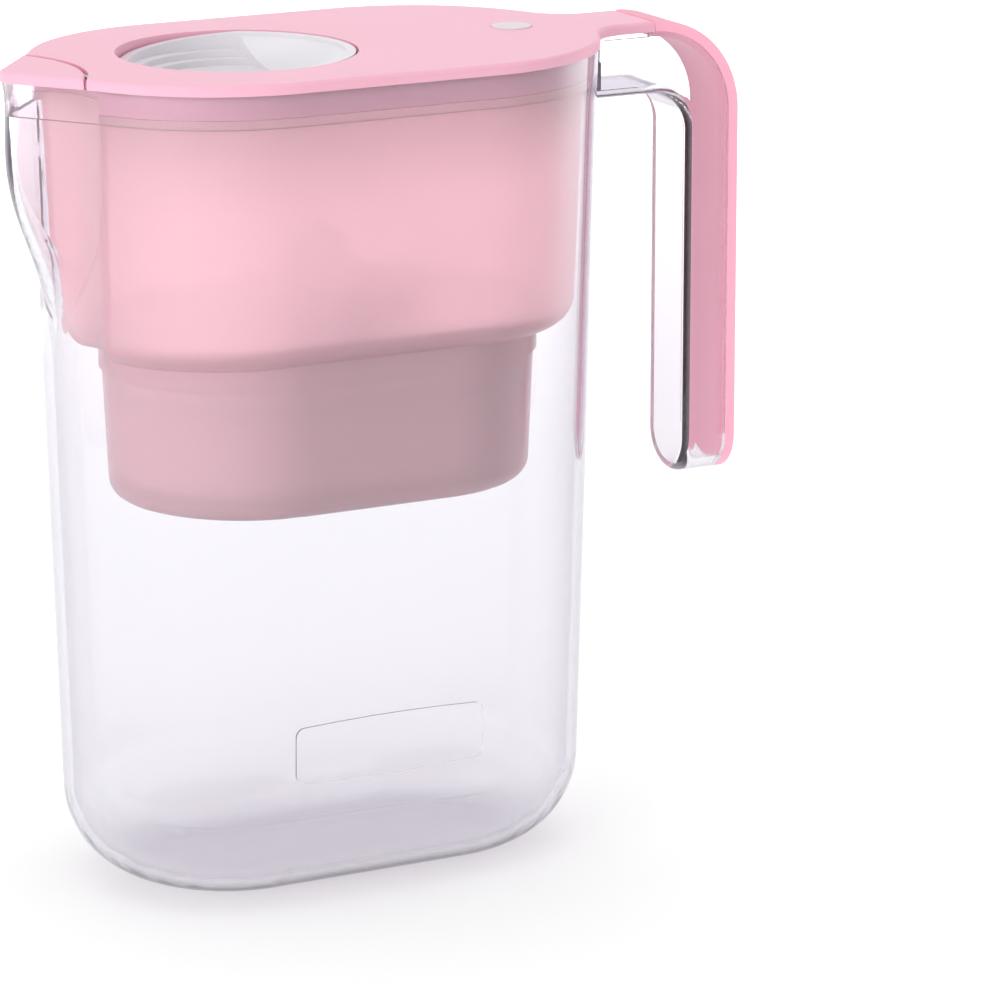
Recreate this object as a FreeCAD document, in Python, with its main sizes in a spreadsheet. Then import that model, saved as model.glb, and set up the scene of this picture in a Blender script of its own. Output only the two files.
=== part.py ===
"""Water filter pitcher: clear jug with spout and handle, lid, hopper and filter cartridge.

Frame: X along the jug (spout at -X, handle at +X), Y across it, Z up. The origin is the middle
of the underside. Sizes are millimetres and degrees.
"""
import FreeCAD
import Part
import math
import os
import Sketcher

V = FreeCAD.Vector

SIZES = {
    # jug: racetrack plan, drafted walls, large rounding under the floor
    "half_straight": 29.25,
    "rim_radius": 52.0,
    "jug_height": 229.5,
    "jug_draft": 1.5,
    "jug_wall": 2.8,
    "jug_floor": 3.2,
    "base_round": 26.0,
    "rim_wall": 1.5,
    "ledge_depth": 9.3,
    # spout: a nose that grows out of the round end
    "spout_reach": 11.5,
    "spout_tip": 5.0,
    "spout_blend": 30.0,
    "spout_sink": 0.8,
    "spout_drop": 69.5,
    "spout_straight": 21.5,
    # handle: open channel that hangs from an arm, closed by a cover strip
    "grip_width": 23.4,
    "grip_gap": 30.35,
    "grip_depth": 13.0,
    "grip_wall": 2.6,
    "grip_length": 131.5,
    "grip_round": 3.0,
    "grip_rebate": 1.5,
    "arm_height": 18.0,
    "bend_inside": 11.0,
    "bend_outside": 24.0,
    "cover_thickness": 3.0,
    "cover_lip": 1.6,
    # bare plaque low on the front
    "plaque_length": 57.5,
    "plaque_height": 16.0,
    "plaque_middle_x": -2.0,
    "plaque_middle_z": 45.0,
    "plaque_bow": 520.0,
    "plaque_round": 2.6,
    "plaque_rise": 0.6,
    # hopper
    "hopper_flange": 2.5,
    "hopper_wall": 1.8,
    "hopper_gap": 0.97,
    "hopper_taper": 2.8,
    "hopper_round": 9.0,
    "hopper_depth": 68.2,
    "scoop_radius": 34.0,
    "scoop_ahead": 18.75,
    "scoop_round": 4.0,
    "sleeve_set": 6.75,
    "sleeve_depth": 43.0,
    "sleeve_taper": 1.6,
    "shoulder_width": 5.3,
    "sleeve_collar": 6.0,
    "sleeve_collar_step": 0.9,
    "sleeve_round": 5.0,
    "outlet_radius": 5.0,
    # cartridge
    "cup_wall": 1.6,
    "cup_gap": 1.6,
    "cap_play": 0.4,
    "cap_lift": 1.5,
    "cap_thickness": 3.0,
    "cap_rim": 1.4,
    "cap_rim_width": 1.8,
    "cap_spigot": 4.0,
    "grip_dome": 24.0,
    "dome_thickness": 7.0,
    "dimple_radius": 8.0,
    "dimple_depth": 2.0,
    "drip_hole": 0.9,
    "drip_ring": 7.0,
    "drip_step": 4.0,
    "drip_set": 1.0,
    "seal_height": 3.0,
    "pad_thickness": 3.6,
    # lid
    "lid_overhang": 0.5,
    "lid_thickness": 3.0,
    "lid_edge": 1.2,
    "skirt_wall": 1.8,
    "tail_blend": 14.0,
    "tail_gap": 0.3,
    "nub_radius": 1.3,
    "fill_radius": 33.3,
    "fill_set": 5.35,
    # spout flap
    "flap_gap": 0.9,
    "flap_back_radius": 40.0,
    "flap_length": 20.95,
    "flap_axis_back": 2.0,
    "flap_axis_depth": 1.1,
    "flap_edge": 1.0,
    "flap_pin_radius": 0.6,
    "flap_pin_length": 38.0,
    # fill flap
    "dish_gap": 0.8,
    "dish_depth": 6.9,
    "dish_floor": 1.8,
    "dish_rim": 2.6,
    "dish_step": 3.4,
    "dish_tread": 1.7,
    "dish_low_rim": 3.4,
    "ramp_start": 13.5,
    "hinge_ahead": 2.6,
    "hinge_clear": 0.9,
    "hinge_pin_radius": 1.0,
    "knuckle_radius": 2.6,
    "knuckle_width": 3.4,
    "knuckle_inner": 5.2,
    "lug_width": 2.8,
    "spring_wire": 0.6,
    "spring_turns": 5,
    "spring_pitch": 1.2,
    # filter-life light
    "light_inset": 20.55,
    "button_radius": 5.7,
    "button_rise": 0.4,
    "button_travel": 0.6,
    "button_flange": 1.3,
    "board_ledge": 1.3,
    "cell_play": 0.5,
    "boss_wall": 3.5,
    "contact_room": 2.1,
    "board_thickness": 1.0,
    "button_stem": 0.9,
    "switch_height": 1.0,
    "cell_radius": 10.0,
    "cell_height": 3.2,
    "contact_gap": 1.5,
    "light_cover": 1.9,
    "contact_strip": 0.25,
    "screw_radius": 0.9,
    "screw_head": 1.6,
    "gasket_height": 0.5,
    "gasket_width": 0.8,
    # fits
    "slip": 0.3,
    "seat": 0.2,
    "pin_play": 0.05,
}

# places and sizes that follow from those above
CORNER = "(hopper_round - hopper_wall)"
DERIVED = {
    "grip_inner": "half_straight + rim_radius + grip_gap",
    "grip_bottom": "jug_height - grip_length",
    "spout_start": "jug_height - spout_drop",
    "spout_full": "jug_height - spout_straight",
    "hopper_top_radius": "rim_radius - ledge_depth * tan(jug_draft * 1 deg) - jug_wall - hopper_gap",
    "hopper_low_radius": "hopper_top_radius - hopper_taper",
    "shoulder_height": "jug_height - ledge_depth - hopper_depth",
    "scoop_middle_x": "-(half_straight + rim_radius + scoop_ahead)",
    "sleeve_half": "half_straight - sleeve_set",
    "sleeve_top_radius": "hopper_low_radius - shoulder_width",
    "sleeve_low_radius": "sleeve_top_radius - sleeve_taper",
    "sleeve_bottom": "shoulder_height - sleeve_depth",
    "cap_radius": "hopper_low_radius - hopper_round - cap_play"
                  f" + sqrt({CORNER} ^ 2 - ({CORNER} - cap_lift) ^ 2)",
    "drip_middle": "sleeve_half - drip_set",
    "fill_middle_x": "fill_set - half_straight",
    "hinge_x": "fill_middle_x + fill_radius + hinge_ahead",
    "hinge_drop": "knuckle_radius + hinge_clear",
    "dish_bottom": "jug_height - dish_depth",
    "flap_back_x": "flap_length - half_straight - rim_radius - lid_overhang - spout_reach",
    "light_x": "half_straight + rim_radius - light_inset",
    "cell_bore": "cell_radius + cell_play",
    "boss_radius": "cell_bore + boss_wall",
    "chamber_radius": "cell_bore - board_ledge",
    "board_drop": "button_flange + button_stem + button_travel + switch_height + 2 * seat",
    "cell_drop": "board_drop + board_thickness + contact_gap",
    "boss_depth": "cell_drop + cell_height + contact_room",
}

doc = FreeCAD.newDocument("water_filter_pitcher")
sheet = doc.addObject("Spreadsheet::Sheet", "size")
cells = {alias: str(value) for alias, value in SIZES.items()}
cells.update({alias: f"={formula}" for alias, formula in DERIVED.items()})
for row, (alias, text) in enumerate(cells.items(), 1):
    sheet.set(f"A{row}", alias)
    sheet.set(f"B{row}", text)
    sheet.setAlias(f"B{row}", alias)
doc.recompute()

# shared expressions
DRAFT = "tan(size.jug_draft * 1 deg)"
LEDGE = "(size.jug_height - size.ledge_depth)"
FLANGE_TOP = f"({LEDGE} + size.hopper_flange)"
LID_TOP = "(size.jug_height + size.lid_thickness)"
ROOT = "(size.half_straight + size.rim_radius - size.jug_wall / 2)"
GRIP_OUT = "(size.grip_inner + size.grip_depth)"
GRIP_HALF = "(size.grip_width / 2)"
ARM_UNDER = "(size.jug_height - size.arm_height)"
BEND_X = f"({GRIP_OUT} - size.bend_outside)"
BEND_Z = "(size.jug_height - size.bend_outside)"
SHOULDER_IN = "(size.shoulder_height + size.hopper_wall)"
COLLAR = "(size.shoulder_height - size.sleeve_collar)"
CAP_UNDER = f"({SHOULDER_IN} + size.cap_lift)"
CAP_TOP = f"({CAP_UNDER} + size.cap_thickness)"
HINGE_Z = "(size.jug_height - size.hinge_drop)"
FLAP_AXIS_X = "(size.flap_back_x - size.flap_axis_back)"
FLAP_AXIS_Z = f"({LID_TOP} - size.flap_axis_depth)"
BOARD_TOP = "(size.jug_height - size.board_drop)"
BOSS_END = "(size.jug_height - size.boss_depth)"


def num(expression):
    """The number that an expression over the sheet gives."""
    value = sheet.evalExpression(expression)
    return float(getattr(value, "Value", value))


def radius_at(height):
    """Outer radius of the jug's round ends at a height."""
    return f"(size.rim_radius - (size.jug_height - {height}) * {DRAFT})"


def new_body(name):
    return doc.addObject("PartDesign::Body", name)


def sketch_on(body, name, role, offset="0"):
    """Empty sketch on one of the body's origin planes, moved along its normal."""
    plane = next(f for f in body.Origin.OriginFeatures if f.Role == role)
    sketch = body.newObject("Sketcher::SketchObject", name)
    sketch.AttachmentSupport = [(plane, "")]
    sketch.MapMode = "FlatFace"
    sketch.setExpression("AttachmentOffset.Base.z", offset)
    return sketch


def fix(sketch, kind, *args):
    """Adds one constraint; a text as the last argument is an expression that drives it."""
    if isinstance(args[-1], str):
        index = sketch.addConstraint(Sketcher.Constraint(kind, *args[:-1], num(args[-1])))
        sketch.setExpression(f"Constraints[{index}]", args[-1])
    else:
        sketch.addConstraint(Sketcher.Constraint(kind, *args))


def arc(middle, radius, start, end):
    circle = Part.Circle(middle, V(0, 0, 1), radius)
    return Part.ArcOfCircle(circle, start, end)


def disc(sketch, x, y, radius):
    """Full circle with driven middle and radius."""
    index = sketch.addGeometry(Part.Circle(V(num(x), num(y), 0), V(0, 0, 1), num(radius)), False)
    fix(sketch, "Radius", index, radius)
    fix(sketch, "DistanceX", -1, 1, index, 3, x)
    fix(sketch, "DistanceY", -1, 1, index, 3, y)
    return index


def block(sketch, left, low, right, high):
    """Rectangle with four driven sides."""
    a, b, c, d = num(left), num(low), num(right), num(high)
    corners = [V(a, b, 0), V(c, b, 0), V(c, d, 0), V(a, d, 0)]
    lines = [Part.LineSegment(corners[k], corners[(k + 1) % 4]) for k in range(4)]
    first = sketch.addGeometry(lines, False)[0]
    for k in range(4):
        fix(sketch, "Coincident", first + k, 2, first + (k + 1) % 4, 1)
        fix(sketch, "Horizontal" if k % 2 == 0 else "Vertical", first + k)
    fix(sketch, "DistanceX", -1, 1, first, 1, left)
    fix(sketch, "DistanceY", -1, 1, first, 1, low)
    fix(sketch, "DistanceX", -1, 1, first + 1, 2, right)
    fix(sketch, "DistanceY", -1, 1, first + 1, 2, high)


def stadium(body, name, half, radius, height="0"):
    """Racetrack outline: two straight sides and two half circles."""
    sketch = sketch_on(body, name, "XY_Plane", height)
    c, r, q = num(half), num(radius), math.pi / 2
    sketch.addGeometry([
        Part.LineSegment(V(-c, -r, 0), V(c, -r, 0)),
        arc(V(c, 0, 0), r, -q, q),
        Part.LineSegment(V(c, r, 0), V(-c, r, 0)),
        arc(V(-c, 0, 0), r, q, 3 * q),
    ], False)
    for k in range(4):
        fix(sketch, "Tangent", k, 2, (k + 1) % 4, 1)
    fix(sketch, "Equal", 1, 3)
    fix(sketch, "PointOnObject", 1, 3, -1)
    fix(sketch, "DistanceX", -1, 1, 1, 3, half)
    fix(sketch, "DistanceX", 3, 3, -1, 1, half)
    fix(sketch, "Radius", 1, radius)
    return sketch


def scooped(body, name, radius, scoop, height):
    """Racetrack outline whose spout end is hollowed by a round scoop."""
    sketch = sketch_on(body, name, "XY_Plane", height)
    c, r, q = num("size.half_straight"), num(radius), math.pi / 2
    s, mid = num(scoop), num("size.scoop_middle_x")
    apart = -c - mid
    along = (apart ** 2 + r ** 2 - s ** 2) / (2 * apart)
    horn_y = math.sqrt(r ** 2 - along ** 2)
    turn = math.atan2(horn_y, along)
    inner = math.atan2(horn_y, apart - along)
    sketch.addGeometry([
        Part.LineSegment(V(-c, -r, 0), V(c, -r, 0)),
        arc(V(c, 0, 0), r, -q, q),
        Part.LineSegment(V(c, r, 0), V(-c, r, 0)),
        arc(V(-c, 0, 0), r, q, math.pi - turn),
        arc(V(mid, 0, 0), s, -inner, inner),
        arc(V(-c, 0, 0), r, math.pi + turn, 3 * q),
    ], False)
    for first, second in ((0, 1), (1, 2), (2, 3)):
        fix(sketch, "Tangent", first, 2, second, 1)
    fix(sketch, "Tangent", 5, 2, 0, 1)
    fix(sketch, "Coincident", 3, 2, 4, 2)
    fix(sketch, "Coincident", 4, 1, 5, 1)
    fix(sketch, "Coincident", 3, 3, 5, 3)
    fix(sketch, "Equal", 1, 3)
    fix(sketch, "PointOnObject", 1, 3, -1)
    fix(sketch, "PointOnObject", 4, 3, -1)
    fix(sketch, "DistanceX", -1, 1, 1, 3, "size.half_straight")
    fix(sketch, "DistanceX", 3, 3, -1, 1, "size.half_straight")
    fix(sketch, "DistanceX", 4, 3, -1, 1, "-size.scoop_middle_x")
    fix(sketch, "Radius", 1, radius)
    fix(sketch, "Radius", 4, scoop)
    return sketch


def nose(body, name, height, share, grow):
    """Spout section: a small tip circle and the two tangents that run from it to the round end."""
    sketch = sketch_on(body, name, "XY_Plane", height)
    full = radius_at(height)
    tip = f"(size.spout_tip + (size.spout_blend - size.spout_tip) * (1 - {share}))"
    reach = f"({full} + size.spout_reach * {share} - {tip})"
    end_radius = f"({full} - size.spout_sink + {grow})"
    tip_radius = f"({tip} + {grow})"
    c, big, small, e = num("size.half_straight"), num(end_radius), num(tip_radius), num(reach)
    lean = math.acos((big - small) / e)
    normal = V(-math.cos(lean), math.sin(lean), 0)
    flip = V(normal.x, -normal.y, 0)
    end_mid, tip_mid = V(-c, 0, 0), V(-c - e, 0, 0)
    sketch.addGeometry([
        Part.LineSegment(end_mid + normal * big, tip_mid + normal * small),
        arc(tip_mid, small, math.pi - lean, math.pi + lean),
        Part.LineSegment(tip_mid + flip * small, end_mid + flip * big),
        Part.LineSegment(end_mid + flip * big, end_mid + normal * big),
    ], False)
    round_end = sketch.addGeometry(Part.Circle(end_mid, V(0, 0, 1), big), True)
    fix(sketch, "Tangent", 0, 2, 1, 1)
    fix(sketch, "Tangent", 1, 2, 2, 1)
    fix(sketch, "Coincident", 2, 2, 3, 1)
    fix(sketch, "Coincident", 3, 2, 0, 1)
    fix(sketch, "Tangent", 0, 1, round_end)
    fix(sketch, "Tangent", 2, 2, round_end)
    fix(sketch, "PointOnObject", 1, 3, -1)
    fix(sketch, "PointOnObject", round_end, 3, -1)
    fix(sketch, "DistanceX", round_end, 3, -1, 1, "size.half_straight")
    fix(sketch, "DistanceX", 1, 3, round_end, 3, reach)
    fix(sketch, "Radius", round_end, end_radius)
    fix(sketch, "Radius", 1, tip_radius)
    return sketch


def place(point):
    """A corner given as two expressions, as a vector."""
    return V(num(point[0]), num(point[1]), 0)


def outline(sketch, corners, bends=()):
    """Closed outline with driven corners. A bend (side, radius, turn) makes that side an arc that
    bulges to the right of its run where turn is 1 and to the left where it is -1."""
    bends = {side: (radius, turn) for side, radius, turn in bends}
    spots = [place(c) for c in corners]
    sides, starts, ends = [], [], []
    for k, start in enumerate(spots):
        end = spots[(k + 1) % len(spots)]
        forward = k not in bends or bends[k][1] > 0
        if k in bends:
            radius, turn = num(bends[k][0]), bends[k][1]
            run = end - start
            left = V(-run.y, run.x, 0).normalize()
            middle = (start + end) * 0.5 + left * turn * math.sqrt(max(radius ** 2 - run.Length ** 2 / 4, 0))
            near_end, far_end = (start - middle, end - middle) if forward else (end - middle, start - middle)
            side = arc(middle, radius, math.atan2(near_end.y, near_end.x), math.atan2(far_end.y, far_end.x))
        else:
            side = Part.LineSegment(start, end)
        starts.append(1 if forward else 2)
        ends.append(2 if forward else 1)
        sides.append(side)
    first = sketch.addGeometry(sides, False)[0]
    for k, (x, y) in enumerate(corners):
        before = (k - 1) % len(corners)
        fix(sketch, "Coincident", first + before, ends[before], first + k, starts[k])
        fix(sketch, "DistanceX", -1, 1, first + k, starts[k], x)
        fix(sketch, "DistanceY", -1, 1, first + k, starts[k], y)
    for k, (radius, _) in bends.items():
        fix(sketch, "Radius", first + k, radius)


def solid(body):
    doc.recompute()
    return body.Shape


def pad(body, name, sketch, length, symmetric=False, down=False):
    feature = body.newObject("PartDesign::Pad", name)
    feature.Profile = sketch
    feature.setExpression("Length", length)
    feature.SideType = "Symmetric" if symmetric else "One side"
    feature.Reversed = down
    body.Tip = feature
    doc.recompute()
    return feature


def pocket(body, name, sketch, length=None, symmetric=False, up=False):
    """Cut from a sketch; with no length it goes through everything. The volume has to drop."""
    before = solid(body).Volume
    feature = body.newObject("PartDesign::Pocket", name)
    feature.Profile = sketch
    if length is None:
        feature.Type = "ThroughAll"
    else:
        feature.setExpression("Length", length)
    feature.SideType = "Symmetric" if symmetric else "One side"
    feature.Reversed = up
    body.Tip = feature
    if not solid(body).Volume < before - 1e-6:
        raise RuntimeError(f"{name} cuts nothing")
    return feature


def loft(body, name, sections, ruled=True, cut=False):
    kind = "PartDesign::SubtractiveLoft" if cut else "PartDesign::AdditiveLoft"
    feature = body.newObject(kind, name)
    feature.Profile = sections[0]
    feature.Sections = sections[1:]
    feature.Ruled = ruled
    body.Tip = feature
    doc.recompute()
    return feature


def drafted(body, name, half, low_radius, low, high_radius, high, rounding=None):
    """Racetrack block with sloping walls and a rounded bottom edge: a straight middle and two
    half turns of the same profile."""
    lean = f"atan((({high_radius}) - ({low_radius})) / (({high}) - ({low})))"
    if rounding is None:
        edge = [(f"({low_radius})", low)]
    else:
        flat = f"(({low_radius}) - ({rounding}) * (1 - sin({lean})) / cos({lean}))"
        rise = f"({rounding}) * (1 - sin({lean}))"
        edge = [(flat, low), (f"({flat} + ({rounding}) * cos({lean}))", f"{low} + {rise}")]
    right = edge + [(f"({high_radius})", high)]
    left = [(f"-{x}", z) for x, z in reversed(right)]
    middle = sketch_on(body, f"{name}_section", "YZ_Plane")
    bends = [] if rounding is None else [(0, rounding, 1), (4, rounding, 1)]
    outline(middle, right + left, bends)
    pad(body, f"{name}_middle", middle, f"2 * ({half})", symmetric=True)
    turned = sketch_on(body, f"{name}_profile", "XZ_Plane")
    turned.setExpression("AttachmentOffset.Base.x", half)
    bends = [] if rounding is None else [(1, rounding, 1)]
    outline(turned, [("0", low)] + right + [("0", high)], bends)
    end = body.newObject("PartDesign::Revolution", f"{name}_end")
    end.Profile = turned
    end.ReferenceAxis = (turned, ["V_Axis"])
    end.Angle = 180
    end.Midplane = True
    body.Tip = end
    doc.recompute()
    mirror(body, f"{name}_ends", [end], "YZ_Plane")


def scoop_cut(body, name, radius, low, high, rounding):
    """Hollows the spout end with an upright round scoop that flares under the rounded edge."""
    profile = sketch_on(body, f"{name}_profile", "XZ_Plane")
    profile.setExpression("AttachmentOffset.Base.x", "size.scoop_middle_x")
    wide = f"(({radius}) + ({rounding}))"
    outline(profile, [("0", f"{low} - 1"), (wide, f"{low} - 1"), (wide, low),
                      (radius, f"{low} + ({rounding})"), (radius, high), ("0", high)], [(2, rounding, -1)])
    before = solid(body).Volume
    cut = body.newObject("PartDesign::Groove", name)
    cut.Profile = profile
    cut.ReferenceAxis = (profile, ["V_Axis"])
    cut.Angle = 360
    body.Tip = cut
    if not solid(body).Volume < before - 1e-6:
        raise RuntimeError(f"{name} cuts nothing")


def edges_where(body, test):
    """Names of the body's edges whose sampled points all pass a test."""
    names = []
    for k, edge in enumerate(solid(body).Edges, 1):
        points = edge.discretize(5)
        if all(test(p) for p in points):
            names.append(f"Edge{k}")
    return names


def round_over(body, name, radius, test):
    chosen = edges_where(body, test)
    if not chosen:
        raise RuntimeError(f"{name} finds no edge")
    base = body.Tip
    feature = body.newObject("PartDesign::Fillet", name)
    feature.Base = (base, chosen)
    feature.setExpression("Radius", radius)
    body.Tip = feature
    doc.recompute()
    return feature


def near(value, target):
    return abs(value - target) < 1e-3


def combine(body, name, tool, kind="Cut"):
    """Joins another body to this one or takes it away. The volume has to change."""
    before = solid(body).Volume
    feature = body.newObject("PartDesign::Boolean", name)
    feature.Type = kind
    feature.setObjects([tool])
    body.Tip = feature
    if abs(solid(body).Volume - before) < 1e-6:
        raise RuntimeError(f"{name} changes nothing")


def mirror(body, name, features, role):
    feature = body.newObject("PartDesign::Mirrored", name)
    plane = next(f for f in body.Origin.OriginFeatures if f.Role == role)
    feature.Originals = features
    feature.MirrorPlane = (plane, [""])
    body.Tip = feature
    doc.recompute()
    return feature


def around(body, name, features, sketch, count):
    """Pattern about the normal through a sketch's own origin."""
    feature = body.newObject("PartDesign::PolarPattern", name)
    feature.Originals = features
    feature.Axis = (sketch, ["N_Axis"])
    feature.Angle = 360
    feature.Occurrences = count
    body.Tip = feature
    doc.recompute()
    return feature


def spout_heights():
    """Heights of the spout's sections with the share of the full reach that each one has."""
    steps = 4
    rise = "(size.spout_full - size.spout_start)"
    levels = []
    for k in range(steps + 1):
        share = (1 - math.cos(math.pi * k / steps)) / 2
        levels.append((f"(size.spout_start + {rise} * {k / steps})", f"{share:.4f}"))
    levels.append(("size.jug_height", "1"))
    return levels


def build_jug_core():
    """Space inside the jug: drafted cavity, spout channel and the wider mouth over the ledge."""
    body = new_body("jug_core")
    floor, brim = "size.jug_floor", "(size.jug_height + 5)"
    drafted(body, "core_cavity", "size.half_straight", f"{radius_at(floor)} - size.jug_wall", floor,
            f"{radius_at(brim)} - size.jug_wall", brim, "(size.base_round - size.jug_floor)")
    inset = "(-size.jug_wall)"
    sections = [nose(body, f"core_nose_{k}", height, share, inset)
                for k, (height, share) in enumerate(spout_heights())]
    loft(body, "core_spout", sections, ruled=False)
    mouth = stadium(body, "core_mouth", "size.half_straight", "size.rim_radius - size.rim_wall", LEDGE)
    pad(body, "core_mouth_pad", mouth, "size.ledge_depth + 5")
    tip = nose(body, "core_mouth_nose", "size.jug_height", "1", "(-size.rim_wall)")
    tip.setExpression("AttachmentOffset.Base.z", LEDGE)
    pad(body, "core_mouth_spout", tip, "size.ledge_depth + 5")
    return body


def build_grip():
    """Solid form of the handle with rounded corners towards the jug."""
    body = new_body("grip_form")
    side = sketch_on(body, "grip_side", "XZ_Plane")
    outline(side, *grip_outline())
    pad(body, "grip_bar", side, "size.grip_width", symmetric=True)
    rounded_end(body, "grip_end", GRIP_HALF, "size.grip_bottom")
    half, back, top, root = num(GRIP_HALF), num(GRIP_OUT), num("size.jug_height"), num(ROOT)
    x, z, bend = num(BEND_X), num(BEND_Z), num("size.bend_outside")
    end_z = num("size.grip_bottom") + half

    def inner_corner(p):
        outside = near(p.x, back) or near(p.z, top) or near(p.x, root)
        on_bend = near(math.hypot(p.x - x, p.z - z), bend)
        on_end = p.z < end_z and near(math.hypot(p.y, p.z - end_z), half)
        return (near(abs(p.y), half) or on_end) and not outside and not on_bend

    round_over(body, "grip_corners", "size.grip_round", inner_corner)
    return body


def rounded_end(body, name, half, low):
    """Rounds the hanging end of a handle piece to a half circle seen from behind."""
    end = sketch_on(body, f"{name}_face", "YZ_Plane")
    side, middle = f"({half} + 1)", f"({low} + {half})"
    outline(end, [(f"-{side}", f"{low} - 1"), (side, f"{low} - 1"), (side, middle), (half, middle),
                  ("0", low), (f"-{half}", middle), (f"-{side}", middle)], [(3, half, -1), (4, half, -1)])
    pocket(body, name, end, f"4 * {GRIP_OUT}", symmetric=True)


def build_grip_space():
    """Hollow of the handle: an open channel with a round end."""
    body = new_body("grip_space_form")
    channel = sketch_on(body, "grip_channel_side", "XZ_Plane")
    outline(channel, *channel_outline())
    pad(body, "grip_channel", channel, "size.grip_width - 2 * size.grip_wall", symmetric=True)
    rounded_end(body, "grip_channel_end", "(size.grip_width / 2 - size.grip_wall)",
                "(size.grip_bottom + size.grip_wall)")
    return body


def build_pitcher_body():
    """Clear moulding: jug, spout, handle channel and plaque."""
    core = build_jug_core()
    body = new_body("pitcher_body")
    drafted(body, "jug", "size.half_straight", radius_at("0"), "0", "size.rim_radius", "size.jug_height",
            "size.base_round")
    sections = [nose(body, f"jug_nose_{k}", height, share, "0")
                for k, (height, share) in enumerate(spout_heights())]
    loft(body, "jug_spout", sections, ruled=False)

    combine(body, "grip", build_grip(), "Fuse")
    plate = sketch_on(body, "plaque_face", "XZ_Plane", f"{radius_at('0')} - size.plaque_rise")
    tilt = FreeCAD.Rotation(V(1, 0, 0), num("size.jug_draft"))
    plate.AttachmentOffset = FreeCAD.Placement(plate.AttachmentOffset.Base, tilt)
    middle_x, middle_z, turn = "size.plaque_middle_x", "size.plaque_middle_z", "size.plaque_round"
    left, right = f"({middle_x} - size.plaque_length / 2)", f"({middle_x} + size.plaque_length / 2)"
    low, high = f"({middle_z} - size.plaque_height / 2)", f"({middle_z} + size.plaque_height / 2)"
    outline(plate, [(f"{left} + {turn}", low), (f"{right} - {turn}", low), (right, f"{low} + {turn}"),
                    (right, f"{high} - {turn}"), (f"{right} - {turn}", high), (f"{left} + {turn}", high),
                    (left, f"{high} - {turn}"), (left, f"{low} + {turn}")],
            [(0, "size.plaque_bow", 1), (4, "size.plaque_bow", 1)] + [(k, turn, 1) for k in (1, 3, 5, 7)])
    pad(body, "plaque", plate, "size.plaque_rise * 2")

    combine(body, "hollow", core)
    combine(body, "grip_space", build_grip_space())
    rebate = sketch_on(body, "grip_rebate_plan", "XY_Plane", "size.jug_height")
    room = "(size.grip_width / 2 - size.grip_wall / 2)"
    block(rebate, "size.half_straight + size.rim_radius + size.grip_wall", f"-{room}",
          f"{TAIL_END} - size.grip_wall / 2", room)
    pocket(body, "grip_rebate", rebate, "size.grip_rebate")
    return body


def grip_outline():
    """Side view of the handle channel: arm, bend and hanging leg."""
    turn = "(size.grip_inner - size.bend_inside)"
    corners = [(ROOT, ARM_UNDER), (turn, ARM_UNDER), ("size.grip_inner", f"{ARM_UNDER} - size.bend_inside"),
               ("size.grip_inner", "size.grip_bottom"), (GRIP_OUT, "size.grip_bottom"),
               (GRIP_OUT, BEND_Z), (BEND_X, "size.jug_height"), (ROOT, "size.jug_height")]
    return corners, [(1, "size.bend_inside", -1), (5, "size.bend_outside", 1)]


def channel_outline():
    """Side view of the hollow of the handle, open towards the cover and the lid's tail."""
    wall = "size.grip_wall"
    start, floor = f"(size.half_straight + size.rim_radius + {wall})", f"({ARM_UNDER} + {wall})"
    turn, inner = "(size.grip_inner - size.bend_inside)", f"(size.grip_inner + {wall})"
    low, out = f"(size.grip_bottom + {wall})", f"({GRIP_OUT} + {wall})"
    top = f"(size.jug_height + {wall})"
    corners = [(start, floor), (turn, floor), (inner, f"{ARM_UNDER} - size.bend_inside"), (inner, low),
               (out, low), (out, top), (start, top)]
    return corners, [(1, f"size.bend_inside + {wall}", -1)]


def strip_outline(inside, outside, low):
    """Side view of a strip that follows the back of the handle between two offsets."""
    near_r, far_r = f"(size.bend_outside + ({inside}))", f"(size.bend_outside + ({outside}))"
    near_x, far_x = f"{BEND_X} + {near_r}", f"{BEND_X} + {far_r}"
    corners = [(BEND_X, f"{BEND_Z} + {near_r}"), (near_x, BEND_Z), (near_x, low),
               (far_x, low), (far_x, BEND_Z), (BEND_X, f"{BEND_Z} + {far_r}")]
    return corners, [(0, near_r, -1), (4, far_r, 1)]


def build_handle_cover():
    """Coloured strip on the back of the handle with a lip inside the channel."""
    body = new_body("handle_cover")
    side = sketch_on(body, "cover_side", "XZ_Plane")
    outline(side, *strip_outline("size.pin_play", "size.cover_thickness", "size.grip_bottom"))
    pad(body, "cover", side, "size.grip_width", symmetric=True)
    rounded_end(body, "cover_end", GRIP_HALF, "size.grip_bottom")
    lip = sketch_on(body, "cover_lip_side", "XZ_Plane")
    outline(lip, *strip_outline("-size.cover_lip", "size.pin_play", f"size.grip_bottom + {GRIP_HALF}"))
    pad(body, "cover_lip", lip, "size.grip_width - 2 * size.grip_wall - 2 * size.slip", symmetric=True)
    return body


def well_radius(height):
    """Inner radius of the sleeve's round ends at a height."""
    slope = f"(size.sleeve_top_radius - size.sleeve_low_radius) / ({COLLAR} - size.sleeve_bottom)"
    return f"(size.sleeve_low_radius + ({height} - size.sleeve_bottom) * {slope} - size.hopper_wall)"


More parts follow.
